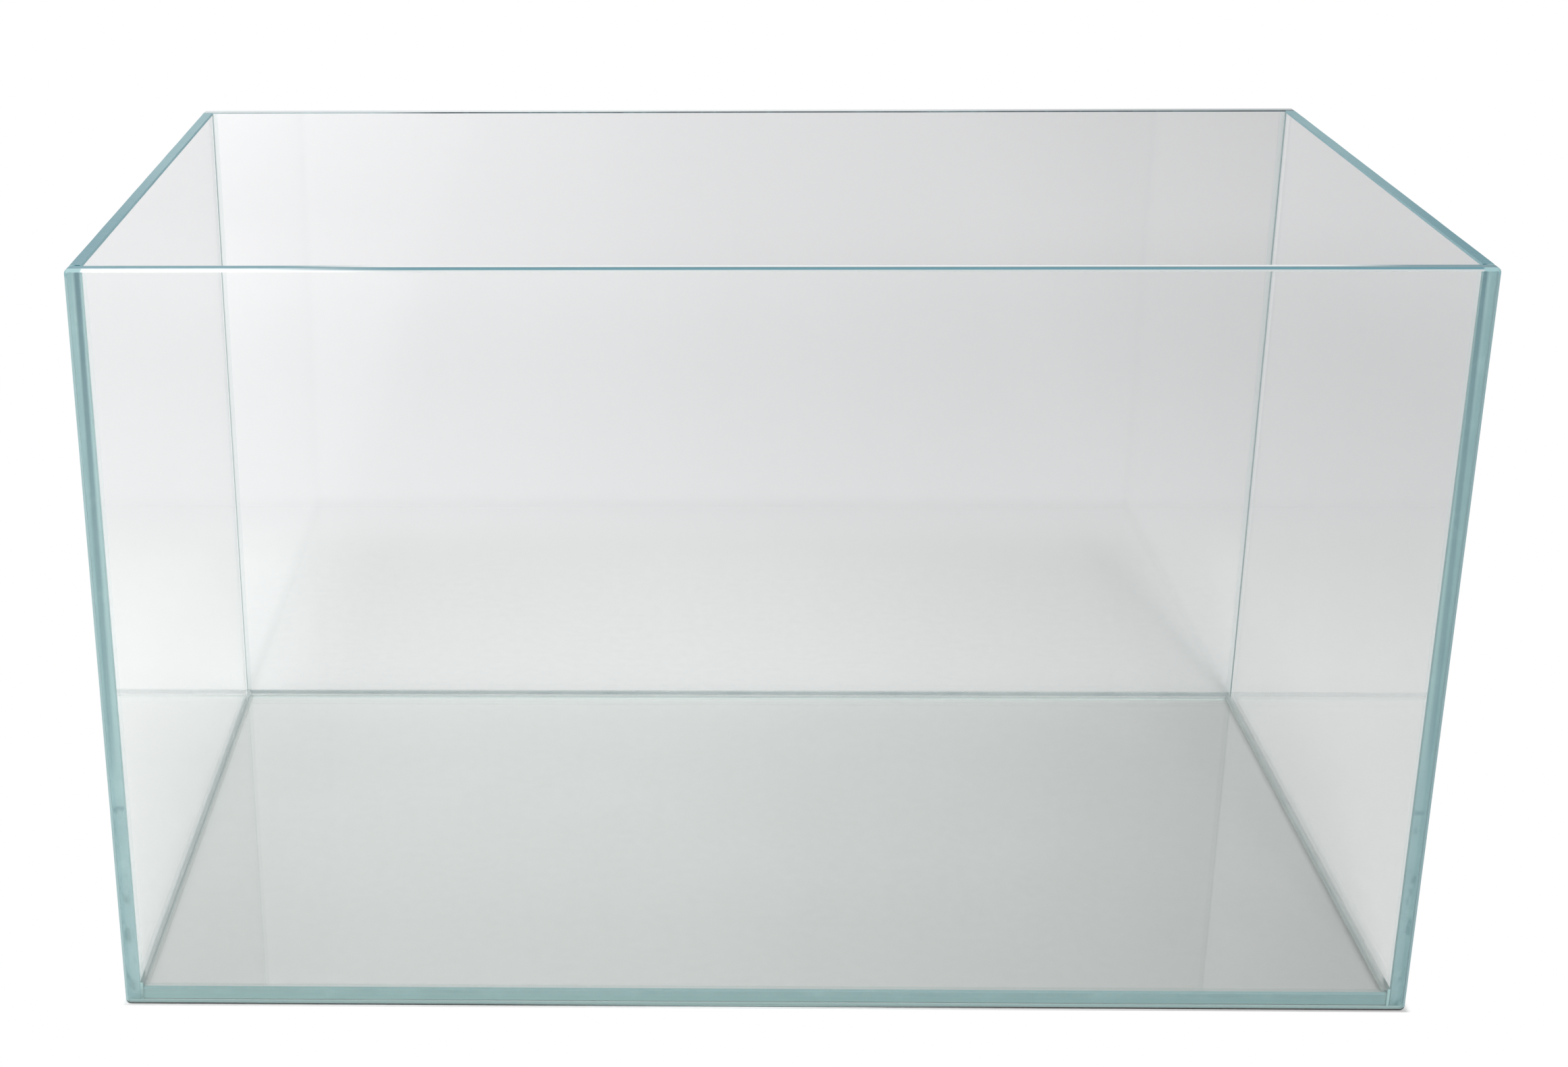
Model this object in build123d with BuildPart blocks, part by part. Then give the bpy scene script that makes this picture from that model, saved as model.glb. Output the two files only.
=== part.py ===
from build123d import *
import os

# Rimless glass tank: five clear panes held together by clear silicone alone.
# Millimetres, +Z up, front pane towards -Y, origin on the table under the middle of the tank.

# Outside of the tank
tank_width = 450.0
tank_depth = 270.0
tank_height = 266.0

# Glass: the outer edges of the walls are bevelled wider than the edges at the joints
wall_glass = 5.0
base_glass = 5.0
outer_arris = 1.0
joint_arris = 0.5
corner_radius = 1.6

# Silicone: the bond between two panes, and the bead tooled into the corner inside
bond_gap = 0.6
wall_bead = 1.5
floor_bead = 2.2
bead_hollow = 0.15

# Inner faces of the walls, and edges of the panes that stand between them
inner_half_width = tank_width / 2 - wall_glass
inner_half_depth = tank_depth / 2 - wall_glass
base_half_width = inner_half_width - bond_gap
base_half_depth = inner_half_depth - bond_gap

# Silicone stops at the arris of the glass, so it touches neither the table nor a lid
seam_foot = joint_arris
seam_top = tank_height - joint_arris

os.makedirs("parts", exist_ok=True)


def save(builder, name):
    builder.part.label = name
    export_step(builder.part, f"parts/{name}.step")


def hollow_face(start, end, corner):
    """Tooled face of a bead: an arc from start to end that dips towards the corner."""
    middle = (Vector(*start) + Vector(*end)) / 2
    dip = (Vector(*corner) - middle).normalized() * bead_hollow
    ThreePointArc(start, middle + dip, end)


# Front and back panes: full width, covering the ends of the side panes
for name, outward in (("front_pane", -1), ("back_pane", 1)):
    outer_face = Plane(
        origin=(0, outward * tank_depth / 2, tank_height / 2),
        x_dir=(-outward, 0, 0),
        z_dir=(0, outward, 0),
    )
    outward_axis = Axis((0, 0, 0), (0, outward, 0))
    with BuildPart() as pane:
        with BuildSketch(outer_face):
            RectangleRounded(tank_width, tank_height, corner_radius)
        extrude(amount=-wall_glass)
        chamfer(pane.faces().sort_by(outward_axis)[-1].edges(), length=outer_arris)
        chamfer(pane.faces().sort_by(outward_axis)[0].edges(), length=joint_arris)
    save(pane, name)

# Side panes: between the front and back panes, one bond short of each
side_panes = {}
for name, outward in (("left_pane", -1), ("right_pane", 1)):
    outer_face = Plane(
        origin=(outward * tank_width / 2, 0, tank_height / 2),
        x_dir=(0, outward, 0),
        z_dir=(outward, 0, 0),
    )
    outward_axis = Axis((0, 0, 0), (outward, 0, 0))
    with BuildPart() as pane:
        with BuildSketch(outer_face):
            Rectangle(2 * base_half_depth, tank_height)
        extrude(amount=-wall_glass)
        rim_and_foot = pane.faces().sort_by(outward_axis)[-1].edges().filter_by(Axis.Y)
        chamfer(rim_and_foot, length=outer_arris)
        ends = pane.faces().sort_by(outward_axis)[-1].edges().filter_by(Axis.Z)
        inner_edges = pane.faces().sort_by(outward_axis)[0].edges()
        chamfer(ends + inner_edges, length=joint_arris)
    save(pane, name)
    side_panes[outward] = pane.part

# Base pane: inside all four walls, flush with their lower edges
with BuildPart() as base_pane:
    with BuildSketch(Plane.XY):
        Rectangle(2 * base_half_width, 2 * base_half_depth)
    extrude(amount=base_glass)
    chamfer(base_pane.faces().filter_by(Axis.Z).edges(), length=joint_arris)
save(base_pane, "base_pane")

# Seams round the base: each fills the gap beside the base's edge and rises over it as a bead.
# They meet in mitres at the corners of the floor.
floor_seams = []
for side, outward, wall, run in (
    ("front", (0, -1, 0), inner_half_depth, 2 * inner_half_width),
    ("back", (0, 1, 0), inner_half_depth, 2 * inner_half_width),
    ("left", (-1, 0, 0), inner_half_width, 2 * inner_half_depth),
    ("right", (1, 0, 0), inner_half_width, 2 * inner_half_depth),
):
    along = Vector(*outward).cross(Vector(0, 0, 1))
    reach = bond_gap + floor_bead
    bead_toe = (wall - reach, base_glass)
    bead_top = (wall, base_glass + floor_bead)
    with BuildPart() as seam:
        with BuildSketch(Plane(origin=(0, 0, 0), x_dir=outward, z_dir=along)):
            with BuildLine():
                Polyline(bead_toe, (wall - reach, seam_foot), (wall, seam_foot), bead_top)
                hollow_face(bead_top, bead_toe, (wall, base_glass))
            make_face()
        extrude(amount=run / 2, both=True)
        with BuildSketch(Plane(origin=(0, 0, 0), x_dir=outward, z_dir=(0, 0, 1))):
            Polygon(
                (wall, -run / 2),
                (wall, run / 2),
                (wall - reach, run / 2 - reach),
                (wall - reach, -run / 2 + reach),
                align=None,
            )
        extrude(amount=tank_height, mode=Mode.INTERSECT)
        add(base_pane.part, mode=Mode.SUBTRACT)
    save(seam, f"base_{side}_seam")
    floor_seams.append(seam.part)

# Seams up the corners: each fills the gap between a side pane and a long pane, and closes
# the corner inside with a bead that stands on the beads of the floor
for end, depthwise in (("front", -1), ("back", 1)):
    for side, sideways in (("left", -1), ("right", 1)):
        corner = (sideways * inner_half_width, depthwise * inner_half_depth)
        bond_side = depthwise * base_half_depth
        bond_end = sideways * (tank_width / 2 - joint_arris)
        arris_end = sideways * (inner_half_width + joint_arris)
        toe_on_long_pane = (sideways * (inner_half_width - wall_bead), corner[1])
        toe_on_side_pane = (corner[0], depthwise * (base_half_depth - wall_bead))
        with BuildPart() as seam:
            with BuildSketch(Plane.XY.offset(seam_foot)):
                Polygon(
                    corner,
                    (bond_end, corner[1]),
                    (bond_end, bond_side),
                    (corner[0], bond_side),
                    align=None,
                )
            extrude(amount=seam_top - seam_foot)
            with BuildSketch(Plane.XY.offset(base_glass)):
                with BuildLine():
                    Polyline(toe_on_side_pane, (arris_end, bond_side), corner, toe_on_long_pane)
                    hollow_face(toe_on_long_pane, toe_on_side_pane, corner)
                make_face()
            extrude(amount=seam_top - base_glass)
            add(side_panes[sideways], mode=Mode.SUBTRACT)
            for floor_seam in floor_seams:
                add(floor_seam, mode=Mode.SUBTRACT)
        save(seam, f"{end}_{side}_seam")
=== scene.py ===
"""Dresses a rimless nano aquarium: five clear panes held together by clear silicone."""

import logging
import math
from collections.abc import Callable, Sequence
from dataclasses import dataclass, replace
from enum import Enum

import bmesh
import bpy
from mathutils import Euler, Matrix, Vector, noise


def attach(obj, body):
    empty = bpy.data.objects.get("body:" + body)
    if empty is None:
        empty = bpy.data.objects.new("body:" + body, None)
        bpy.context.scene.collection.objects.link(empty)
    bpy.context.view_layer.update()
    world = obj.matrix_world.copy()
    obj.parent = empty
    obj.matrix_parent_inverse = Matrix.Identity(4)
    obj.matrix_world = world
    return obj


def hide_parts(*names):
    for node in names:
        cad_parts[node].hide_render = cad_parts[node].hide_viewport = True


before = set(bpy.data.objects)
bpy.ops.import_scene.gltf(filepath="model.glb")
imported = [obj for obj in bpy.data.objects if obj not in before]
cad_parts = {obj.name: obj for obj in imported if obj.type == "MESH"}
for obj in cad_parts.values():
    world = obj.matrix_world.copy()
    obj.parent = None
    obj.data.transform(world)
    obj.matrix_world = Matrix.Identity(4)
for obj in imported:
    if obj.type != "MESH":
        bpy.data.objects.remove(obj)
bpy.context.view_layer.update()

log = logging.getLogger("aquarium")

Triple = tuple[float, float, float]
Socket = bpy.types.NodeSocket
Material = bpy.types.Material
Solid = bmesh.types.BMesh
Value = float | int | Sequence[float] | Socket

MM = 0.001
PHOTO_WIDTH = 2324
PHOTO_HEIGHT = 1582
ROOT = "root"
SILICONE_HAZE = (0.58, 0.63, 0.62)
HAZE_ROUGHNESS = 0.6
EDGE_LAMP_SHARE = (0.80, 0.85, 0.85)
CUT_SLACK = MM / 1000
BLACK = (0.0, 0.0, 0.0)
WHITE = (1.0, 1.0, 1.0)
UP = Vector((0, 0, 1))


class Slot(Enum):
    """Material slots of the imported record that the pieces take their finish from."""

    GLASS = "clear_glass"
    SILICONE = "clear_silicone"


class Region(Enum):
    """Places on a pane that are finished differently."""

    FACE = "face"
    RIM = "rim"
    END = "end"
    FOOT = "foot"
    ARRIS = "arris"
    LIT_ARRIS = "lit_arris"


class Wall(Enum):
    """The four walls, each with the way it faces."""

    FRONT = (0, -1)
    BACK = (0, 1)
    LEFT = (-1, 0)
    RIGHT = (1, 0)

    @property
    def outward(self) -> Vector:
        """The way the wall faces, away from the water."""
        return Vector((*self.value, 0))

    @property
    def sign(self) -> int:
        """1 where the wall faces along its axis and -1 where it faces against it."""
        return sum(self.value)

    @property
    def axis(self) -> int:
        """The axis that the wall faces along: 0 for width and 1 for depth."""
        return 1 if self.is_long else 0

    @property
    def is_long(self) -> bool:
        """Whether it is the front or back wall, which covers the ends of the other two."""
        return self.value[0] == 0

    @property
    def label(self) -> str:
        """The wall's name in lower case."""
        return self.name.lower()


# Shader maths


class Signal:
    """A number that varies over a surface, with the arithmetic of Math nodes."""

    def __init__(self, recipe: "Recipe", socket: Socket) -> None:
        """Wraps a socket of the recipe's node tree.

        Args:
            recipe: The material or world that the socket belongs to.
            socket: The output that carries the number.
        """
        self.recipe = recipe
        self.socket = socket

    def _math(self, operation: str, *values: "Signal | float") -> "Signal":
        """Adds a Math node.

        Args:
            operation: What the node works out.
            values: Its operands, in order.

        Returns:
            The node's result.
        """
        return self.recipe.signal("ShaderNodeMath", {"operation": operation}, dict(enumerate(values)))

    def __add__(self, other: "Signal | float") -> "Signal":
        """Sum."""
        return self._math("ADD", self, other)

    def __radd__(self, other: float) -> "Signal":
        """Sum with a number on the left."""
        return self._math("ADD", other, self)

    def __sub__(self, other: "Signal | float") -> "Signal":
        """Difference."""
        return self._math("SUBTRACT", self, other)

    def __rsub__(self, other: float) -> "Signal":
        """Difference from a number on the left."""
        return self._math("SUBTRACT", other, self)

    def __mul__(self, other: "Signal | float") -> "Signal":
        """Product."""
        return self._math("MULTIPLY", self, other)

    def __rmul__(self, other: float) -> "Signal":
        """Product with a number on the left."""
        return self._math("MULTIPLY", other, self)

    def __truediv__(self, other: "Signal | float") -> "Signal":
        """Quotient."""
        return self._math("DIVIDE", self, other)

    def __pow__(self, other: float) -> "Signal":
        """Power."""
        return self._math("POWER", self, other)

    def __abs__(self) -> "Signal":
        """Size without the sign."""
        return self._math("ABSOLUTE", self)

    def at_least(self, other: "Signal | float") -> "Signal":
        """The larger of the two."""
        return self._math("MAXIMUM", self, other)

    def at_most(self, other: "Signal | float") -> "Signal":
        """The smaller of the two."""
        return self._math("MINIMUM", self, other)

    def root(self) -> "Signal":
        """Square root."""
        return self._math("SQRT", self)

    def rises(self, low: float, high: float) -> "Signal":
        """Turns smoothly from 0 at low to 1 at high.

        Args:
            low: Where it starts to rise.
            high: Where it has risen to 1, which may be below low for a fall.

        Returns:
            The smooth step.
        """
        settings = {"interpolation_type": "SMOOTHSTEP"}
        values = {"Value": self, "From Min": low, "From Max": high}
        return self.recipe.signal("ShaderNodeMapRange", settings, values)

    def ridge(self, centre: "Signal | float", width: float) -> "Signal":
        """A soft line.

        Args:
            centre: The number at the middle of the line.
            width: The line's whole width, in the number's own unit.

        Returns:
            1 where the number is at centre, and 0 past half the width from it.
        """
        return 1 - abs(self - centre).rises(0, width / 2)


def plain(value: Signal | Value) -> Value:
    """The socket of a signal, or the value itself."""
    return value.socket if isinstance(value, Signal) else value


class Recipe:
    """The node tree of one material or world, filled by one method that adds nodes."""

    def __init__(self, owner: Material | bpy.types.World) -> None:
        """Empties the owner's node tree.

        Args:
            owner: The material or world to fill.
        """
        owner.use_nodes = True
        self.tree = owner.node_tree
        self.tree.nodes.clear()

    def node(
        self,
        kind: str,
        settings: dict[str, object] | None = None,
        values: dict[str | int, Signal | Value] | None = None,
    ) -> bpy.types.Node:
        """Adds a node.

        Args:
            kind: The node's type.
            settings: Its own settings, set before its sockets. The stops of a ramp are a list of
                pairs of position and grey.
            values: The value or link of each socket, by name or number.

        Returns:
            The new node.
        """
        made = self.tree.nodes.new(kind)
        for name, setting in (settings or {}).items():
            if name == "stops":
                self._set_stops(made.color_ramp, setting)
            else:
                setattr(made, name, setting)
        for name, value in (values or {}).items():
            self._fill(made.inputs[name], plain(value))
        return made

    def _fill(self, socket: Socket, value: Value) -> None:
        """Links a value to a socket if it is a socket itself, and else sets it there."""
        if isinstance(value, Socket):
            self.tree.links.new(value, socket)
        else:
            socket.default_value = value

    @staticmethod
    def _set_stops(ramp: bpy.types.ColorRamp, stops: Sequence[tuple[float, float]]) -> None:
        """Gives a colour ramp its stops.

        Args:
            ramp: The ramp, with Blender's two stops.
            stops: Position and grey of each stop, in order.
        """
        while len(ramp.elements) < len(stops):
            ramp.elements.new(1.0)
        for element, (position, grey) in zip(ramp.elements, stops, strict=True):
            element.position = position
            element.color = (grey, grey, grey, 1.0)

    def signal(
        self,
        kind: str,
        settings: dict[str, object] | None = None,
        values: dict[str | int, Signal | Value] | None = None,
        output: str | int = 0,
    ) -> Signal:
        """Adds a node and wraps one of its outputs.

        Args:
            kind: The node's type.
            settings: As in node.
            values: As in node.
            output: The output to wrap, by name or number.

        Returns:
            The wrapped output.
        """
        return Signal(self, self.node(kind, settings, values).outputs[output])

    def place(self) -> Socket:
        """The place on the piece as a vector."""
        return self.node("ShaderNodeTexCoord").outputs["Object"]

    def position(self) -> tuple[Signal, Signal, Signal]:
        """The place on the piece along the tank's width, depth and height, in metres."""
        parts = self.node("ShaderNodeSeparateXYZ", None, {0: self.place()})
        return tuple(Signal(self, parts.outputs[i]) for i in range(3))

    def blend(self, share: Signal | float, first: Value, second: Value) -> Socket:
        """Mixes two colours.

        Args:
            share: How much of the second colour there is.
            first: Colour at share 0.
            second: Colour at share 1.

        Returns:
            The mixed colour.
        """
        mixer = self.node("ShaderNodeMix", {"data_type": "RGBA"})
        inputs = {socket.identifier: socket for socket in mixer.inputs}
        self._fill(inputs["Factor_Float"], plain(share))
        for name, colour in (("A_Color", first), ("B_Color", second)):
            self._fill(inputs[name], (*colour, 1.0) if isinstance(colour, tuple) else colour)
        return next(socket for socket in mixer.outputs if socket.identifier == "Result_Color")

    def seen_ray(self, *kinds: str) -> Signal:
        """1 for the named kinds of ray and 0 for others.

        Args:
            kinds: Outputs of the Light Path node.

        Returns:
            The largest of those outputs.
        """
        path = self.node("ShaderNodeLightPath")
        first, *rest = (Signal(self, path.outputs[kind]) for kind in kinds)
        for other in rest:
            first = first.at_least(other)
        return first

    def within(self) -> Signal:
        """1 where a face is seen from within the glass and 0 from outside."""
        return self.signal("ShaderNodeNewGeometry", output="Backfacing")

    def surface(self, shader: Socket, kind: str = "ShaderNodeOutputMaterial") -> None:
        """Joins a shader to the output node."""
        self.node(kind, None, {"Surface": shader})

    def principled(self, **values: Signal | Value) -> Socket:
        """Adds a Principled shader.

        Args:
            values: Its sockets, with underscores for the spaces in their names.

        Returns:
            The shader.
        """
        named = {name.replace("_", " ").title().replace("Ior", "IOR"): v for name, v in values.items()}
        for name, value in named.items():
            if isinstance(value, tuple):
                named[name] = (*value, 1.0)
        return self.node("ShaderNodeBsdfPrincipled", None, named).outputs[0]

    def clear(self, colour: Triple) -> Socket:
        """A shader that lets light of one colour straight through."""
        return self.node("ShaderNodeBsdfTransparent", None, {"Color": (*colour, 1.0)}).outputs[0]

    def mixed(self, share: Signal | float, first: Socket, second: Socket) -> Socket:
        """Mixes two shaders, by the share of the second."""
        return self.node("ShaderNodeMixShader", None, {0: share, 1: first, 2: second}).outputs[0]

    def outside_only(self, shader: Socket, from_within: Triple, haze: float) -> Socket:
        """Keeps a shader for the outside of the glass, and leaves it clear from within.

        Args:
            shader: What the surface looks like from outside.
            from_within: Colour of the light that passes it from within the glass.
            haze: How much of it is pale silicone from within.

        Returns:
            The mixed shader.
        """
        clear = self.clear(from_within)
        if haze:
            pale = self.principled(base_color=SILICONE_HAZE, roughness=HAZE_ROUGHNESS)
            clear = self.mixed(haze, clear, pale)
        return self.mixed(self.within(), shader, clear)

    def lets_lamps_through(self, shader: Socket) -> Socket:
        """Keeps a polished edge from throwing a shadow darker than the glass does."""
        return self.mixed(self.seen_ray("Is Shadow Ray"), shader, self.clear(EDGE_LAMP_SHARE))


@dataclass(frozen=True)
class Step:
    """Where a number turns from nothing to its full share."""

    low: float
    high: float
    share: float = 1.0

    def of(self, number: Signal) -> Signal:
        """The share at a number: none at low and all of it at high."""
        turned = number.rises(self.low, self.high)
        return turned if self.share == 1.0 else turned * self.share


@dataclass(frozen=True)
class Grain:
    """Noise from 0 to 1 in a piece's own coordinates, by its features to a metre on each axis."""

    scale: Triple
    detail: float = 3.0

    def noise(self, recipe: Recipe, offset: float = 0.0) -> Signal:
        """Adds the noise.

        Args:
            recipe: The material.
            offset: Moves the pattern, so that pieces differ.

        Returns:
            The noise.
        """
        values = {"Vector": recipe.place(), "Scale": self.scale, "Location": (offset,) * 3}
        spread = recipe.node("ShaderNodeMapping", None, values).outputs[0]
        values = {"Vector": spread, "Scale": 1.0, "Detail": self.detail}
        return recipe.signal("ShaderNodeTexNoise", None, values)


def even(scale: float, detail: float = 3.0) -> Grain:
    """Noise with the same scale on all axes."""
    return Grain((scale,) * 3, detail)


# Finishes


class Finish:
    """A look that makes its own material."""

    def material(self, name: str) -> Material:
        """Makes the material.

        Args:
            name: The material's name.

        Returns:
            A material with the finish's shader.
        """
        material = bpy.data.materials.new(name)
        recipe = Recipe(material)
        recipe.surface(self.shader(recipe))
        return material

    def shader(self, recipe: Recipe) -> Socket:
        """Adds what the finish looks like; each kind of finish has its own."""
        raise NotImplementedError


@dataclass(frozen=True)
class ClearFace(Finish):
    """The wide faces of a pane: float glass with a breath of green, faintly wiped."""

    tint: Triple = (0.972, 0.978, 0.977)
    lamp_share: Triple = (0.885, 0.893, 0.891)
    wiped_tint: Triple = (0.962, 0.969, 0.968)
    index: float = 1.52
    wipes: Grain = Grain((14.0, 14.0, 3.0))
    wipe_step: Step = Step(0.45, 0.8)
    wipe_haze: float = 0.012

    def shader(self, recipe: Recipe) -> Socket:
        """Adds the glass.

        Args:
            recipe: The material.

        Returns:
            Glass that bends what is seen through it and lets lamps shine straight through.
        """
        wipes = self.wipe_step.of(self.wipes.noise(recipe))
        glass = recipe.principled(
            base_color=recipe.blend(wipes, self.tint, self.wiped_tint),
            roughness=wipes * self.wipe_haze,
            transmission_weight=1.0,
            ior=self.index,
        )
        by_lamp = recipe.seen_ray("Is Shadow Ray", "Is Diffuse Ray")
        return recipe.mixed(by_lamp, glass, recipe.clear(self.lamp_share))


@dataclass(frozen=True)
class Cast:
    """Painted light or shade: a tone that a finish turns to along one axis, standing for how the light
    falls there.
    """

    axis: int
    start: float
    end: float
    tone: Triple

    def laid(self, recipe: Recipe, places: Sequence[Signal], colour: Value) -> Socket:
        """Turns a colour to the tone.

        Args:
            recipe: The material.
            places: The place along the three axes.
            colour: The colour so far.

        Returns:
            The colour before the start, and the tone past the end.
        """
        return recipe.blend(places[self.axis].rises(self.start, self.end), colour, self.tone)


@dataclass(frozen=True)
class PolishedRim(Finish):
    """The upper edge of a wall: deep teal, since the whole height of the glass lies behind it, with
    painted light and shade laid along it.
    """

    body: Triple
    pale: Triple
    casts: Sequence[Cast] = ()
    clouds: Grain = even(22.0, 2.0)
    cloud_step: Step = Step(0.35, 0.75, 0.55)
    specks: Grain = even(320.0)
    speck_step: Step = Step(0.6, 0.8, 0.15)
    polish: float = 0.3
    unevenness: float = 0.15
    gloss: float = 0.25

    def shader(self, recipe: Recipe) -> Socket:
        """Adds the rim's look.

        Args:
            recipe: The material.

        Returns:
            Teal that clouds slowly along the rim, with its painted light and shade over it.
        """
        specks = self.specks.noise(recipe)
        share = self.cloud_step.of(self.clouds.noise(recipe)) + self.speck_step.of(specks)
        colour = recipe.blend(share, self.body, self.pale)
        places = recipe.position()
        # Painted light and shade laid along the rim.
        for cast in self.casts:
            colour = cast.laid(recipe, places, colour)
        roughness = self.polish + self.unevenness * specks
        rim = recipe.principled(base_color=colour, roughness=roughness, specular_ior_level=self.gloss)
        return recipe.lets_lamps_through(rim)


@dataclass(frozen=True)
class Stripe:
    """The far end of a wall, seen in its near end as a darker stripe that leans outwards."""

    low_at: float = 0.32
    top_at: float = 0.68
    strength: float = 0.82
    width: float = 0.62
    low: float = 80 * MM
    top: float = 266 * MM
    flattening: float = 1.35
    least: float = 0.18
    start: Step = Step(0.0, 0.15)

    def share(self, across: Signal, height: Signal) -> Signal:
        """How strong the stripe is.

        Args:
            across: From 0 at the pane's outer face to 1 at its inner face.
            height: Height above the table.

        Returns:
            From 0 beside the stripe to its strength in the middle, less towards the table.
        """
        climb = (height - self.low) / (self.top - self.low)
        centre = climb * (self.top_at - self.low_at) + self.low_at
        grown = climb.at_least(0.0).at_most(1.0)
        flat_line = (across.ridge(centre, self.width) * self.flattening).at_most(1.0)
        return flat_line * (grown * self.strength + self.least) * self.start.of(climb)


@dataclass(frozen=True)
class PolishedEnd(Finish):
    """The upright ends of a wall and the edge of the base: light teal, with what lies behind."""

    thickness_axis: int
    outer: float
    inner: float
    stripe: Stripe | None = None
    body: Triple = (0.29, 0.44, 0.455)
    haze: float = 0.0
    bonded: bool = True
    deep: Triple = (0.03, 0.135, 0.17)
    pale: Triple = (0.39, 0.565, 0.56)
    bite: Triple = (0.19, 0.31, 0.32)
    dim: Triple = (0.12, 0.22, 0.245)
    from_within: Triple = (0.95, 0.97, 0.97)
    clouds: Grain = even(70.0, 4.0)
    cloud_step: Step = Step(0.35, 0.75, 0.35)
    runs: Grain = Grain((30.0, 30.0, 500.0), 2.0)
    run_step: Step = Step(0.5, 0.75, 0.2)
    inward: Step = Step(0.2, 0.9)
    rightward: Step = Step(-0.26, 0.26, 0.31)
    crossing: float = 75.5 * MM
    above: Step = Step(75.5 * MM, 105.5 * MM)
    below: Step = Step(76.5 * MM, 74.5 * MM)
    pale_inward: Step = Step(0.45, 0.8)
    pale_share: float = 0.35
    bites: Grain = Grain((260.0, 260.0, 140.0))
    bite_step: Step = Step(0.52, 0.66)
    bite_outward: Step = Step(1.0, 0.4)
    bite_share: float = 0.9
    line_width: float = 3.0 * MM
    line_inward: Step = Step(0.1, 0.4)
    line_share: float = 0.55
    inner_line: Step = Step(0.93, 1.0, 0.35)
    polish: float = 0.2
    unevenness: float = 0.12
    gloss: float = 0.3

    def shader(self, recipe: Recipe) -> Socket:
        """Adds the end's look.

        Args:
            recipe: The material.

        Returns:
            Light teal from outside, and clear from within the glass where silicone joins it to
            the next pane. In a wall a darker stripe leans down it, and the foot of the pane
            mottles its lowest part.
        """
        places = recipe.position()
        across = (places[self.thickness_axis] - self.outer) / (self.inner - self.outer)
        clouds = self.clouds.noise(recipe, self.outer)
        colour = recipe.blend(self.cloud_step.of(clouds), self.body, self.pale)
        if self.stripe:
            colour = self.mottled(recipe, colour, across, places[2])
        else:
            runs = self.run_step.of(self.runs.noise(recipe, self.inner))
            colour = recipe.blend(runs, colour, self.dim)
            # Base edge: painted light, paler towards its lower side, making up for the shade near the
            # table.
            colour = recipe.blend(self.inward.of(across), colour, self.pale)
        # Painted shade: the end grows darker towards the right.
        colour = recipe.blend(self.rightward.of(places[0]), colour, self.dim)
        roughness = self.polish + self.unevenness * clouds
        shader = recipe.principled(base_color=colour, roughness=roughness, specular_ior_level=self.gloss)
        if self.bonded:
            shader = recipe.outside_only(shader, self.from_within, self.haze)
        return recipe.lets_lamps_through(shader)

    def mottled(self, recipe: Recipe, colour: Socket, across: Signal, height: Signal) -> Socket:
        """Adds what the far end and the foot of a wall show in its near end.

        Args:
            recipe: The material.
            colour: Its colour so far.
            across: From 0 at the pane's outer face to 1 at its inner face.
            height: Height above the table.

        Returns:
            The colour with the stripe, the line where the foot begins, and the mottling.
        """
        paler = self.pale_inward.of(across) * self.above.of(height) * self.pale_share
        colour = recipe.blend(paler, colour, self.pale)
        colour = recipe.blend(self.stripe.share(across, height), colour, self.deep)
        bites = self.below.of(height) * self.bite_step.of(self.bites.noise(recipe, self.inner))
        bites = bites * self.bite_outward.of(across) * self.bite_share
        colour = recipe.blend(bites, colour, self.bite)
        line = height.ridge(self.crossing, self.line_width) * self.line_inward.of(across)
        colour = recipe.blend(line * self.line_share, colour, self.dim)
        return recipe.blend(self.inner_line.of(across), colour, self.dim)


@dataclass(frozen=True)
class WornFoot(Finish):
    """The lower edge of a pane: painted contact shadow along its arris, paler between, with chips to the
    right.
    """

    thickness_axis: int
    outer: float
    inner: float
    dark: Triple = (0.03, 0.03, 0.027)
    teal: Triple = (0.40, 0.59, 0.58)
    dull: Triple = (0.36, 0.40, 0.39)
    chip: Triple = (0.90, 0.92, 0.91)
    seen_within: Triple = (0.235, 0.33, 0.325)
    runs: Grain = even(26.0)
    dull_run: float = 0.3
    dark_run: float = 0.25
    chips: Grain = even(700.0, 2.0)
    chip_step: Step = Step(0.62, 0.70)
    chip_share: float = 0.8
    worn: Step = Step(-0.08, 0.16)
    arris: Step = Step(0.32, 0.22)
    pale_run: float = 200 * MM
    pale_share: float = 0.8
    inner_line: Step = Step(0.8, 1.0)
    leftward: Step = Step(-0.05, -0.12, 0.8)
    roughness: float = 0.5
    unevenness: float = 0.3

    def shader(self, recipe: Recipe) -> Socket:
        """Adds the foot's look.

        Args:
            recipe: The material.

        Returns:
            Ground glass: painted contact shadow to the left, teal in the middle, and to the right
            dull with bright chips between two dark lines of painted contact shadow.
        """
        places = recipe.position()
        across = (places[self.thickness_axis] - self.outer) / (self.inner - self.outer)
        runs = self.runs.noise(recipe)
        chips = self.chips.noise(recipe)
        worn = self.worn.of(places[0])
        colour = recipe.blend(worn * (1 - self.dull_run + self.dull_run * runs), self.teal, self.dull)
        colour = recipe.blend(self.chip_step.of(chips) * worn * self.chip_share, colour, self.chip)
        # Painted contact shadow: dark lines along the arris and the inner edge, and over the left end.
        line = self.arris.of(across) * (1 - self.pale_share * places[0].ridge(0.0, self.pale_run))
        line = line.at_least(self.inner_line.of(across) * worn).at_least(self.leftward.of(places[0]))
        colour = recipe.blend(line * (1 - self.dark_run + self.dark_run * runs), colour, self.dark)
        colour = recipe.blend(recipe.within(), colour, self.seen_within)
        return recipe.principled(base_color=colour, roughness=self.roughness + self.unevenness * chips)


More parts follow.
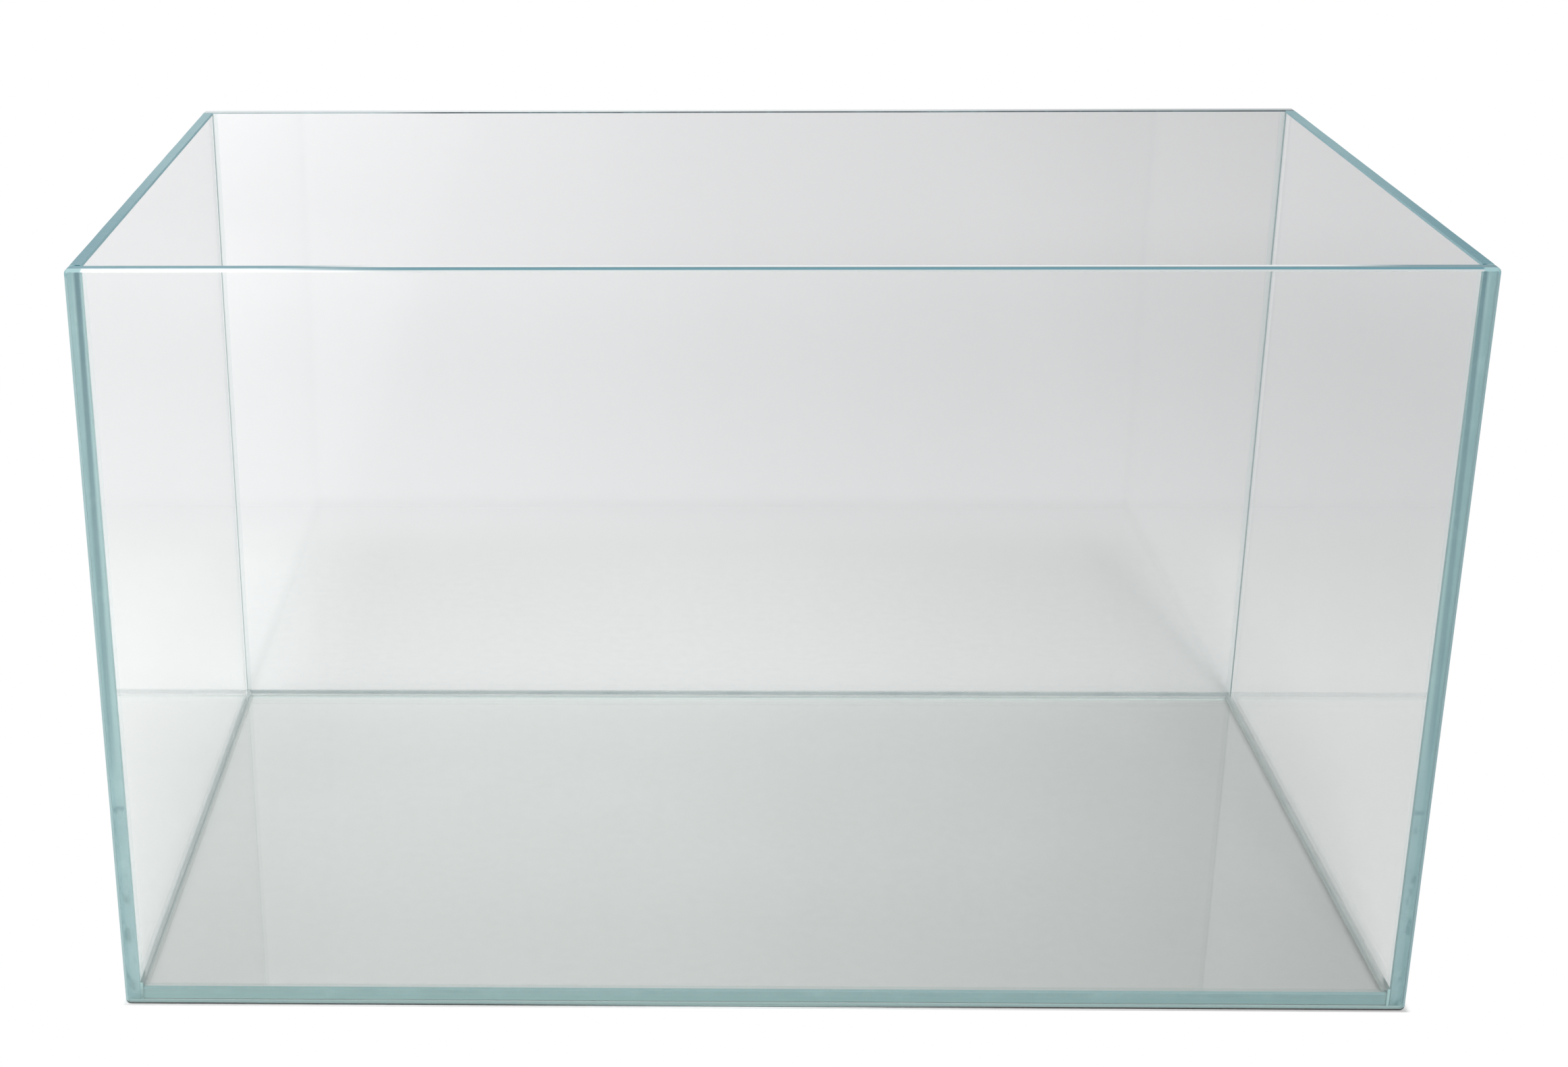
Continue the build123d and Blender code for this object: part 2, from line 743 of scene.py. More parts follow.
@dataclass(frozen=True)
class GroundArris(Finish):
    """The narrow bevel ground along an edge of a pane, slightly frosted."""

    body: Triple = (0.34, 0.51, 0.52)
    pale: Triple = (0.41, 0.58, 0.59)
    bonded: bool = False
    haze: float = 0.0
    beside_rim: Triple = (0.20, 0.35, 0.385)
    rim_casts: Sequence[Cast] = ()
    rim_step: Step = Step(263 * MM, 264 * MM)
    rim_wear: float = 0.3
    # Painted shade: the arris turns darker towards the right.
    right: Cast = Cast(0, -0.26, 0.26, (0.22, 0.34, 0.355))
    from_within: Triple = (0.93, 0.95, 0.95)
    chatter: Grain = even(420.0)
    chatter_step: Step = Step(0.5, 0.7, 0.4)
    runs: Grain = even(35.0, 2.0)
    run_step: Step = Step(0.4, 0.7, 0.6)
    frost: float = 0.35
    unevenness: float = 0.3

    def shader(self, recipe: Recipe) -> Socket:
        """Adds the arris's look.

        Args:
            recipe: The material.

        Returns:
            Ground glass with fine chatter from the belt, and clear from within where silicone
            lies against it.
        """
        chatter = self.chatter.noise(recipe)
        share = self.run_step.of(self.runs.noise(recipe)) + self.chatter_step.of(chatter)
        colour = self.coloured(recipe, recipe.position(), share)
        shader = recipe.principled(base_color=colour, roughness=self.frost + self.unevenness * chatter)
        if self.bonded:
            shader = recipe.outside_only(shader, self.from_within, self.haze)
        return recipe.lets_lamps_through(shader)

    def teal(self, recipe: Recipe, places: Sequence[Signal], share: Signal) -> Socket:
        """The arris's teal, with painted shade that deepens it to the right."""
        return self.right.laid(recipe, places, recipe.blend(share, self.body, self.pale))

    def coloured(self, recipe: Recipe, places: Sequence[Signal], share: Signal) -> Socket:
        """The colour of the ground glass.

        Args:
            recipe: The material.
            places: The place along the three axes.
            share: Where it is pale.

        Returns:
            Teal, and near the top the colour beside the rim.
        """
        beside = self.rim_step.of(places[2]) * (1 - self.rim_wear * share)
        rim_tone = self.beside_rim
        for cast in self.rim_casts:
            rim_tone = cast.laid(recipe, places, rim_tone)
        return recipe.blend(beside, self.teal(recipe, places, share), rim_tone)


@dataclass(frozen=True)
class BrightArris(GroundArris):
    """The front pane's upper bevel: a painted highlight that is bright to the left and dims to the
    right, and teal above the side walls.
    """

    # Tones of the painted highlight, from bright at the left to dim at the right.
    bright: Triple = (0.90, 0.915, 0.915)
    middling: Triple = (0.46, 0.48, 0.48)
    middling_step: Step = Step(-0.175, -0.115)
    dulled: Triple = (0.38, 0.40, 0.40)
    dulled_step: Step = Step(-0.08, 0.08)
    dulled_wear: float = 0.2
    under_rim: Triple = (0.085, 0.19, 0.225)
    upper_half: Step = Step(265.35 * MM, 265.65 * MM)
    least_dark: float = 0.4
    darker: Step = Step(-0.17, -0.11, 0.6)
    over_sides: Step = Step(219.1 * MM, 219.9 * MM)

    def coloured(self, recipe: Recipe, places: Sequence[Signal], share: Signal) -> Socket:
        """The colour of the ground glass.

        Args:
            recipe: The material.
            places: The place along the three axes.
            share: Where it is pale.

        Returns:
            Dark beside the rim and a painted highlight below, dimmer to the right, and teal over the
            side walls.
        """
        x, _, height = places
        # Painted highlight: bright to the left, dimming through the middle to the right.
        clear = recipe.blend(self.middling_step.of(x), self.bright, self.middling)
        dull = self.dulled_step.of(x) * (1 - self.dulled_wear * share)
        clear = recipe.blend(dull, clear, self.dulled)
        dark = self.upper_half.of(height) * (self.darker.of(x) + self.least_dark)
        clear = recipe.blend(dark, clear, self.under_rim)
        return recipe.blend(self.over_sides.of(abs(x)), clear, self.teal(recipe, places, share))


@dataclass(frozen=True)
class BeadShape:
    """Where a floor bead's free face lies, for how thick the silicone is across it."""

    axis: int
    wall: float
    deck: float
    width: float
    height: float
    feather: float = 0.85
    skew: float = 0.0
    steepness: float = 2.0

    def thickness(self, recipe: Recipe) -> Signal:
        """1 along the middle of the bead's face, and less towards its two feathered edges."""
        places = recipe.position()
        across = (self.wall - abs(places[self.axis])) / self.width
        up = (places[2] - self.deck) / self.height
        off_middle = abs(across - up - self.skew)
        return (1 - off_middle**self.steepness * self.feather).at_least(0.0)


@dataclass(frozen=True)
class CuredSilicone(Finish):
    """Clear silicone: soft, a little grey-green, and not quite even."""

    colour: Triple
    shade: Triple
    cover: float
    bead: BeadShape | None = None
    unevenness: float = 0.25
    lumps: Grain = even(90.0)
    lump_step: Step = Step(0.35, 0.7)
    lump_depth: float = 0.2 * MM
    lump_strength: float = 0.25
    waves: Grain = even(18.0, 2.0)
    end_on_cover: float = 0.0
    end_on_across: Step = Step(218.9 * MM, 219.2 * MM)
    end_on_front: Step = Step(-0.118, -0.124)
    roughness: float = 0.22
    roughening: float = 0.2

    def shader(self, recipe: Recipe) -> Socket:
        """Adds the silicone.

        Args:
            recipe: The material.

        Returns:
            A see-through rubber whose cover varies along the seam. A bond seen end-on at the
            front corners is as good as solid there, since its whole run lies behind it.
        """
        lumps = self.lumps.noise(recipe)
        waves = self.waves.noise(recipe)
        cover = self.cover * (1 - self.unevenness) + self.cover * 2 * self.unevenness * waves
        if self.bead:
            cover = cover * self.bead.thickness(recipe)
        if self.end_on_cover:
            x, y, _ = recipe.position()
            end_on = self.end_on_across.of(abs(x)) * self.end_on_front.of(y)
            cover = cover.at_least(end_on * self.end_on_cover)
        relief = {"Strength": self.lump_strength, "Distance": self.lump_depth, "Height": lumps}
        return recipe.principled(
            base_color=recipe.blend(self.lump_step.of(lumps), self.colour, self.shade),
            roughness=self.roughness + self.roughening * lumps,
            alpha=cover,
            normal=recipe.node("ShaderNodeBump", None, relief).outputs[0],
        )


@dataclass(frozen=True)
class GreyRamp:
    """A grey that changes across the floor, by the distance from the ramp's left end."""

    stops: Sequence[tuple[float, float]]
    left_end: float = -450 * MM

    def at(self, x: Signal) -> Signal:
        """The grey at a place across the tank, from 0 to 1."""
        return x.recipe.signal("ShaderNodeValToRGB", {"stops": self.stops}, {0: x - self.left_end})


@dataclass(frozen=True)
class StudioPaper(Finish):
    """The pale floor: lit paper round the tank with painted shade under it and to the right, which fades
    to a plain backdrop away from it.
    """

    half_width: float
    half_depth: float
    # Painted light on the open paper: bright to the left, darker to the right.
    daylight: GreyRamp = GreyRamp(
        (
            (0.0, 0.995), (0.225, 0.995), (0.25, 0.90), (0.27, 0.87), (0.36, 0.88),
            (0.42, 0.878), (0.487, 0.856), (0.552, 0.81), (0.60, 0.78), (0.645, 0.75),
            (0.67, 0.758), (0.70, 0.73), (0.75, 0.69), (0.80, 0.65), (0.9, 0.63),
        )
    )
    # Painted shade on the paper under the tank, darker to the right.
    under_tank: GreyRamp = GreyRamp(
        (
            (0.20, 0.85), (0.258, 0.864), (0.291, 0.883), (0.324, 0.899), (0.367, 0.897),
            (0.421, 0.887), (0.475, 0.837), (0.529, 0.799), (0.557, 0.777),
            (0.589, 0.736), (0.622, 0.69), (0.66, 0.629), (0.70, 0.60),
        )
    )
    # Painted shade on the backdrop seen in or through glass, darker to the right.
    dimming: GreyRamp = GreyRamp(
        (
            (0.0, 0.99), (0.08, 0.965), (0.13, 0.92), (0.16, 0.89), (0.25, 0.835),
            (0.36, 0.78), (0.48, 0.725), (0.65, 0.685), (0.75, 0.645), (0.9, 0.585),
        )
    )
    # Painted shade on the paper: further back, towards the tank's front and near its back.
    far_shade: Step = Step(0.12, 0.35, 0.04)
    near_shade: Step = Step(0.135, -0.135, 0.11)
    front_shade: Step = Step(0.0, -0.13, 0.06)
    back_shade: Step = Step(0.05, 0.12, 0.06)
    fibres: Grain = even(240.0, 4.0)
    fibre_step: Step = Step(0.3, 0.7, 0.03)
    matt: float = 0.8
    unevenness: float = 0.1
    gloss: float = 0.2
    fade: float = 3 * MM
    front_squeeze: float = 8.0
    plain_from: Step = Step(290 * MM, 400 * MM)
    far_spread: Step = Step(0.85, 1.15, 0.22)
    # Painted shadow: a soft darker band across the backdrop.
    dip_at: float = 0.72
    dip_width: float = 0.75
    dip_depth: float = 0.055
    cast: Triple = (1.0, 0.998, 1.01)

    def shader(self, recipe: Recipe) -> Socket:
        """Adds the paper.

        Args:
            recipe: The material.

        Returns:
            Paper that keeps the tank's shadow and has painted shade under the tank. Seen past
            the tank it soon turns white, and seen in or through glass it dims softly to the right
            as painted shade.
        """
        x, y, _ = recipe.position()
        fibres = self.fibres.noise(recipe)
        beside = (abs(x) - self.half_width).at_least(0.0)
        before = (0.0 - y - self.half_depth).at_least(0.0) * self.front_squeeze
        behind = (y - self.half_depth).at_least(0.0)
        away = (beside * beside + before * before + behind * behind).root()
        outside = self.daylight.at(x) * (1 - self.far_shade.of(y))
        shades = self.near_shade.of(y) + self.front_shade.of(y)
        inside = self.under_tank.at(x) * (1 - shades - self.back_shade.of(y))
        tone = outside + (inside - outside) * away.rises(self.fade, 0.0)
        tone = tone * (1 - self.fibre_step.of(fibres))
        lit = recipe.principled(
            base_color=recipe.blend(tone, BLACK, WHITE),
            roughness=self.matt + self.unevenness * fibres,
            specular_ior_level=self.gloss,
        )
        direct = recipe.seen_ray("Is Camera Ray")
        by_glass = recipe.seen_ray("Is Glossy Ray", "Is Transmission Ray")
        share = direct * away.rises(0.0, self.fade) + by_glass * self.plain_from.of(y)
        backdrop = {"Color": self.backdrop(recipe, x, y, direct)}
        return recipe.mixed(share, lit, recipe.node("ShaderNodeEmission", None, backdrop).outputs[0])

    def backdrop(self, recipe: Recipe, x: Signal, y: Signal, direct: Signal) -> Socket:
        """The plain tone that the paper fades to.

        Args:
            recipe: The material.
            x: Place across the tank.
            y: Place along its depth.
            direct: 1 where the paper is seen past the tank.

        Returns:
            White where it is seen directly, and otherwise a pale grey with painted shade to the right
            and in a band further back.
        """
        spread = x * (1 - self.far_spread.of(y))
        grey = self.dimming.at(spread) * (1 - y.ridge(self.dip_at, self.dip_width) * self.dip_depth)
        return recipe.blend(direct, recipe.blend(grey, BLACK, self.cast), WHITE)


# Mesh work


def keep_mesh(bm: Solid, name: str, materials: Sequence[Material]) -> bpy.types.Object:
    """Turns a finished bmesh into an object at the origin.

    Args:
        bm: The mesh, in the tank's own frame. It is freed.
        name: The object's name.
        materials: Its materials, in the order of their slots.

    Returns:
        The new object.
    """
    bmesh.ops.recalc_face_normals(bm, faces=bm.faces)
    mesh = bpy.data.meshes.new(name)
    bm.to_mesh(mesh)
    bm.free()
    for material in materials:
        mesh.materials.append(material)
    made = bpy.data.objects.new(name, mesh)
    bpy.context.scene.collection.objects.link(made)
    return made


def keep_piece(bm: Solid, node: str, slot: Slot, materials: Sequence[Material]) -> bpy.types.Object:
    """Turns a finished bmesh into a piece of the tank, which stands for a CAD node.

    Args:
        bm: The mesh, in the tank's own frame. It is freed.
        node: The CAD node.
        slot: The record's material slot.
        materials: The piece's materials, in the order of their slots.

    Returns:
        The piece, which rides on the tank.
    """
    stuff = slot.value.removeprefix("clear_")
    piece = keep_mesh(bm, f"{node}_{stuff}", materials)
    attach(piece, ROOT)
    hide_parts(node)
    log.info("%s: %d faces", piece.name, len(piece.data.polygons))
    return piece


def soften(bm: Solid, edges: list[bmesh.types.BMEdge], width: float, steps: int = 1) -> None:
    """Bevels edges.

    Args:
        bm: The mesh.
        edges: The edges to bevel.
        width: How far the bevel reaches along each face.
        steps: The bevel's segments.
    """
    bmesh.ops.bevel(
        bm,
        geom=edges,
        offset=width,
        offset_type="OFFSET",
        segments=steps,
        profile=0.5,
        affect="EDGES",
        material=-1,
    )


def edges_where(bm: Solid, test: Callable[[Vector], bool]) -> list[bmesh.types.BMEdge]:
    """The edges whose two ends both pass a test of their place."""
    return [edge for edge in bm.edges if all(test(vert.co) for vert in edge.verts)]


def slice_evenly(bm: Solid, axis: int, half_length: float, pitch: float) -> None:
    """Cuts a mesh across an axis into pieces of about one length, so that its edges can wander.

    Args:
        bm: The mesh, centred on the origin.
        axis: The axis to cut across.
        half_length: Half the mesh's length along it.
        pitch: The length of a piece.
    """
    count = max(2, round(2 * half_length / pitch))
    normal = Vector.Fill(3, 0.0)
    normal[axis] = 1.0
    for i in range(1, count):
        point = normal * (2 * half_length * i / count - half_length)
        geometry = [*bm.verts, *bm.edges, *bm.faces]
        bmesh.ops.bisect_plane(bm, geom=geometry, dist=CUT_SLACK, plane_co=point, plane_no=normal)


# Sub-assemblies


@dataclass(frozen=True)
class TankSize:
    """The sizes that the panes and seams share, in metres."""

    width: float = 450 * MM
    depth: float = 270 * MM
    height: float = 266 * MM
    glass: float = 5 * MM
    outer_arris: float = 1.0 * MM
    joint_arris: float = 0.5 * MM
    corner_radius: float = 1.6 * MM
    bond_gap: float = 0.6 * MM
    wall_bead: float = 1.5 * MM
    floor_bead: float = 2.2 * MM
    bead_hollow: float = 0.15 * MM

    @property
    def inner_half(self) -> Vector:
        """Half the inside width and depth."""
        return Vector((self.width / 2 - self.glass, self.depth / 2 - self.glass))

    @property
    def base_half(self) -> Vector:
        """Half the width and depth of the base, which is also where the side panes end."""
        return self.inner_half - Vector.Fill(2, self.bond_gap)

    def wall_half(self, wall: Wall) -> float:
        """Distance from the tank's middle to the inner face of a wall."""
        return self.inner_half[wall.axis]

    def run_half(self, wall: Wall) -> float:
        """Half the inside length of a wall."""
        return self.inner_half[1 - wall.axis]


@dataclass
class Pane:
    """One sheet of glass with ground arrises, flat faces and polished edges."""

    name: str
    length: float
    height: float
    thickness: float
    ends_arris: float
    rims_arris: float
    inner_arris: float
    place: Matrix
    finishes: dict[Region, Material]
    stands: bool = True
    lit_top: bool = False
    corner_radius: float = 0.0
    corner_steps: int = 5
    wander: float = 0.07 * MM
    waves: float = 70.0
    pitch: float = 9 * MM
    flatness: float = 0.01 * MM
    face_tilt: float = 0.99
    edge_tilt: float = 0.1
    arris_tilt: float = 0.3

    def shape(self) -> Solid:
        """Models the pane with its outer face towards local +Z.

        Returns:
            The mesh, centred on the origin.
        """
        bm = bmesh.new()
        size = Matrix.Diagonal((self.length, self.height, self.thickness, 1.0))
        bmesh.ops.create_cube(bm, size=1.0, matrix=size)
        half = Vector((self.length, self.height, self.thickness)) / 2
        slack = self.flatness
        if self.corner_radius:
            posts = [e for e in bm.edges if abs(e.verts[0].co.z - e.verts[1].co.z) > slack]
            soften(bm, posts, self.corner_radius, self.corner_steps)
            soften(bm, edges_where(bm, lambda p: p.z > half.z - slack), self.rims_arris)
        else:
            rims = edges_where(bm, lambda p: p.z > half.z - slack)
            rims = [e for e in rims if abs(e.verts[0].co.y - e.verts[1].co.y) < slack]
            soften(bm, rims, self.rims_arris)
            outer = edges_where(bm, lambda p: p.z > half.z - slack)
            ends = [e for e in outer if all(abs(v.co.x) > half.x - slack for v in e.verts)]
            soften(bm, ends, self.ends_arris)
        soften(bm, edges_where(bm, lambda p: p.z < slack - half.z), self.inner_arris)
        slice_evenly(bm, 0, half.x, self.pitch)
        slice_evenly(bm, 1, half.y, self.pitch)
        self.roughen(bm, half)
        return bm

    def roughen(self, bm: Solid, half: Vector) -> None:
        """Lets the lines of the arrises wander a little, as a hand-held belt leaves them.

        Args:
            bm: The pane, sliced.
            half: Half its length, height and thickness.
        """
        reach = max(self.ends_arris, self.rims_arris, self.inner_arris) + self.corner_radius
        own = Vector((len(self.name), 0, 0))
        for vert in bm.verts:
            sway = noise.noise(vert.co * self.waves + own) * self.wander
            if half.z - abs(vert.co.z) < self.flatness:
                for axis in (0, 1):
                    if half[axis] - abs(vert.co[axis]) < reach:
                        vert.co[axis] -= math.copysign(abs(sway), vert.co[axis])
            else:
                vert.co.z += sway

    def region(self, face: bmesh.types.BMFace) -> Region:
        """Which finish a face takes, by the way it faces in the pane's own frame.

        Args:
            face: A face of the pane.

        Returns:
            The place on the pane that the face belongs to.
        """
        x, y, z = face.normal
        if abs(z) > self.face_tilt:
            return Region.FACE
        if abs(z) < self.edge_tilt:
            if self.stands and abs(y) > abs(x):
                return Region.RIM if y > 0 else Region.FOOT
            return Region.END
        if self.stands and y < -self.arris_tilt:
            return Region.FOOT
        return Region.LIT_ARRIS if self.lit_top and min(y, z) > self.arris_tilt else Region.ARRIS

    def build(self) -> bpy.types.Object:
        """Makes the pane in its place.

        Returns:
            The pane, standing for its CAD node.
        """
        bm = self.shape()
        bm.normal_update()
        regions = [self.region(face) for face in bm.faces]
        used = [region for region in Region if region in regions]
        for face, region in zip(bm.faces, regions, strict=True):
            face.material_index = used.index(region)
        bmesh.ops.transform(bm, matrix=self.place, verts=bm.verts)
        return keep_piece(bm, self.name, Slot.GLASS, [self.finishes[region] for region in used])


@dataclass
class Glazing:
    """The five panes: two long ones, two between them, and the base inside all four."""

    size: TankSize
    face: ClearFace = ClearFace()
    base_face: ClearFace = ClearFace((0.94, 0.95, 0.945), (0.89, 0.905, 0.895))
    # Side rims: painted shade darkens them towards the front.
    side_rim: PolishedRim = PolishedRim(
        (0.19, 0.33, 0.36), (0.25, 0.39, 0.42), (Cast(1, 0.07, -0.11, (0.115, 0.24, 0.275)),)
    )
    # Front rim: a painted highlight along its inner strip and painted light at its left end; it is also
    # lighter at its right end.
    front_rim: PolishedRim = PolishedRim(
        (0.085, 0.19, 0.225),
        (0.14, 0.26, 0.30),
        (
            Cast(1, -0.1330, -0.1320, (0.68, 0.70, 0.70)),
            Cast(0, -0.12, -0.16, (0.12, 0.25, 0.29)),
            Cast(0, 0.17, 0.20, (0.15, 0.25, 0.28)),
        ),
    )
    # Back rim: painted pale grey as a reflection of the bright surroundings, with painted shade towards
    # the right and at its left end.
    back_rim: PolishedRim = PolishedRim(
        (0.66, 0.69, 0.69),
        (0.72, 0.75, 0.75),
        (Cast(0, 0.02, 0.20, (0.38, 0.41, 0.42)), Cast(0, -0.12, -0.16, (0.56, 0.60, 0.61))),
    )
    front_arris: GroundArris = GroundArris((0.27, 0.40, 0.41), (0.31, 0.45, 0.46))
    lit_arris: BrightArris = BrightArris((0.27, 0.40, 0.41), (0.31, 0.45, 0.46))
    # Back arris: dark beside the rim, and painted lighter towards its left end.
    back_arris: GroundArris = GroundArris(
        beside_rim=(0.07, 0.085, 0.095), rim_casts=(Cast(0, -0.12, -0.16, (0.32, 0.36, 0.37)),)
    )
    joint_arris: GroundArris = GroundArris((0.33, 0.49, 0.50), (0.38, 0.54, 0.55), True)
    base_arris: GroundArris = GroundArris((0.21, 0.335, 0.335), (0.24, 0.375, 0.375), True, 0.85)
    base_body: Triple = (0.255, 0.395, 0.395)
    base_haze: float = 0.85
    left_stripe: Stripe = Stripe()
    right_stripe: Stripe = Stripe(low_at=0.31, top_at=0.82, strength=0.8)
    # Back and side walls: a paler painted contact shadow, then their teal and dull tones.
    pale_foot: Sequence[Triple] = ((0.42, 0.48, 0.47), (0.52, 0.63, 0.62), (0.50, 0.58, 0.57))

    def __post_init__(self) -> None:
        """Makes the finishes that several panes share."""
        joint_arris = self.joint_arris.material("joint_arris")
        self.shared = {
            Region.FACE: self.face.material("glass_face"),
            Region.ARRIS: joint_arris,
            Region.LIT_ARRIS: self.lit_arris.material("bright_arris"),
        }
        side = (self.side_rim.material("side_rim"), joint_arris)
        self.edges = {
            Wall.FRONT: (self.front_rim.material("front_rim"), self.front_arris.material("front_arris")),
            Wall.BACK: (self.back_rim.material("back_rim"), self.back_arris.material("back_arris")),
            Wall.LEFT: side,
            Wall.RIGHT: side,
        }

    def wall_finishes(self, name: str, wall: Wall, outer: float) -> dict[Region, Material]:
        """The materials of one wall.

        Args:
            name: The pane's name.
            wall: The wall.
            outer: Distance from the tank's middle to its outer face.

        Returns:
            One material for each region of a pane.
        """
        span = (wall.axis, wall.sign * outer, wall.sign * (outer - self.size.glass))
        stripe = self.right_stripe if wall is Wall.RIGHT else self.left_stripe
        foot = WornFoot(*span) if wall is Wall.FRONT else WornFoot(*span, *self.pale_foot)
        rim, arris = self.edges[wall]
        return {
            **self.shared,
            Region.RIM: rim,
            Region.ARRIS: arris,
            Region.END: PolishedEnd(*span, stripe, bonded=not wall.is_long).material(f"{name}_end"),
            Region.FOOT: foot.material(f"{name}_foot"),
        }

    def wall_place(self, wall: Wall, outer: float) -> Matrix:
        """Where a wall stands.

        Args:
            wall: The wall.
            outer: Distance from the tank's middle to its outer face.

        Returns:
            The transform from a pane's own frame, outer face towards +Z, to the tank's.
        """
        turn = Matrix((UP.cross(wall.outward), UP, wall.outward)).transposed().to_4x4()
        middle = wall.outward * (outer - self.size.glass / 2) + UP * (self.size.height / 2)
        return Matrix.Translation(middle) @ turn

    def wall(self, wall: Wall) -> Pane:
        """One wall.

        Args:
            wall: Which one.

        Returns:
            The pane, not built yet.
        """
        size = self.size
        outer = (size.depth if wall.is_long else size.width) / 2
        name = f"{wall.label}_pane"
        return Pane(
            name=name,
            length=size.width if wall.is_long else 2 * size.base_half[1],
            height=size.height,
            thickness=size.glass,
            ends_arris=size.outer_arris if wall.is_long else size.joint_arris,
            rims_arris=size.outer_arris,
            inner_arris=size.joint_arris,
            place=self.wall_place(wall, outer),
            finishes=self.wall_finishes(name, wall, outer),
            lit_top=wall is Wall.FRONT,
            corner_radius=size.corner_radius if wall.is_long else 0.0,
        )

    def base(self) -> Pane:
        """The base.

        Returns:
            The pane, not built yet.
        """
        size = self.size
        end = PolishedEnd(2, size.glass, 0.0, body=self.base_body, haze=self.base_haze)
        own = {
            Region.FACE: self.base_face.material("base_face"),
            Region.ARRIS: self.base_arris.material("base_arris"),
            Region.END: end.material("base_pane_end"),
        }
        return Pane(
            name="base_pane",
            length=2 * size.base_half[0],
            height=2 * size.base_half[1],
            thickness=size.glass,
            ends_arris=size.joint_arris,
            rims_arris=size.joint_arris,
            inner_arris=size.joint_arris,
            place=Matrix.Translation(UP * (size.glass / 2)),
            finishes={**self.shared, **own},
            stands=False,
        )

    def build(self) -> list[bpy.types.Object]:
        """Makes the five panes."""
        return [pane.build() for pane in (*map(self.wall, Wall), self.base())]


@dataclass
class Seam:
    """A run of silicone of one section, with a free face that is not quite even."""

    name: str
    arc: Sequence[tuple[float, float]]
    solid: Sequence[tuple[float, float]]
    corner: Vector
    half_run: float
    place: Matrix
    finishes: Sequence[Material]
    mitre: Callable[[Vector], float] | None = None
    pitch: float = 4 * MM
    slack: float = 0.01 * MM
    bead_slack: float = 0.004 * MM
    wander: float = 0.16 * MM
    slow_waves: tuple[float, float] = (28.0, 90.0)
    quick_waves: tuple[float, float] = (160.0, 300.0)
    slow_share: float = 0.75
    quick_share: float = 0.35

    def shape(self) -> Solid:
        """Sweeps the section along local Z.

        Returns:
            The mesh, in the seam's own frame.
        """
        bm = bmesh.new()
        ring = [bm.verts.new((a, b, -self.half_run)) for a, b in (*self.arc, *self.solid)]
        start = bm.faces.new(ring)
        swept = bmesh.ops.extrude_face_region(bm, geom=[start], use_keep_orig=True)
        far = [v for v in swept["geom"] if isinstance(v, bmesh.types.BMVert)]
        bmesh.ops.translate(bm, verts=far, vec=UP * (2 * self.half_run))
        if self.mitre:
            for vert in bm.verts:
                vert.co.z -= math.copysign(self.mitre(vert.co), vert.co.z)
        runs = [e for e in bm.edges if abs(e.verts[0].co.z - e.verts[1].co.z) > self.half_run]
        bmesh.ops.subdivide_edges(bm, edges=runs, cuts=round(2 * self.half_run / self.pitch))
        self.wave(bm)
        return bm

    def wave(self, bm: Solid) -> None:
        """Lets the free face swell and thin along the run.

        Args:
            bm: The swept seam.
        """
        loose = [Vector(point) for point in self.arc]
        own = len(self.name)
        for vert in bm.verts:
            flat = vert.co.to_2d()
            near = min(loose, key=lambda point: (point - flat).length)
            if (near - flat).length > self.slack:
                continue
            along, across = self.slow_waves
            slow = noise.noise(Vector((vert.co.z * along, own, near.x * across)))
            along, across = self.quick_waves
            quick = noise.noise(Vector((vert.co.z * along, near.x * across, own)))
            swell = self.wander * (self.slow_share * slow + self.quick_share * quick)
            vert.co.xy += (flat - self.corner).normalized() * swell

    def build(self) -> bpy.types.Object:
        """Makes the seam in its place.

        Returns:
            The seam, standing for its CAD node.
        """
        bm = self.shape()
        for face in bm.faces:
            face.smooth = self.is_bead(face)
            face.material_index = int(face.smooth)
        bmesh.ops.transform(bm, matrix=self.place, verts=bm.verts)
        return keep_piece(bm, self.name, Slot.SILICONE, self.finishes)

    def is_bead(self, face: bmesh.types.BMFace) -> bool:
        """Whether a face belongs to the bead inside, and not to the bond between two panes."""
        middle = face.calc_center_median()
        return middle.x <= self.corner.x and middle.y >= self.corner.y - self.bead_slack


def hollow_arc(
    start: Vector, end: Vector, corner: Vector, hollow: float, steps: int = 6
) -> list[tuple[float, float]]:
    """Points of a tooled bead's face, which dips towards the corner.

    Args:
        start: First end of the face.
        end: Other end.
        corner: The corner that the bead fills.
        hollow: How far the middle dips.
        steps: How many straight parts the face has.

    Returns:
        The points from start to end.
    """
    dip = (corner - (start + end) / 2).normalized() * hollow
    shares = [i / steps for i in range(steps + 1)]
    return [tuple(start.lerp(end, share) + dip * (1 - (2 * share - 1) ** 2)) for share in shares]


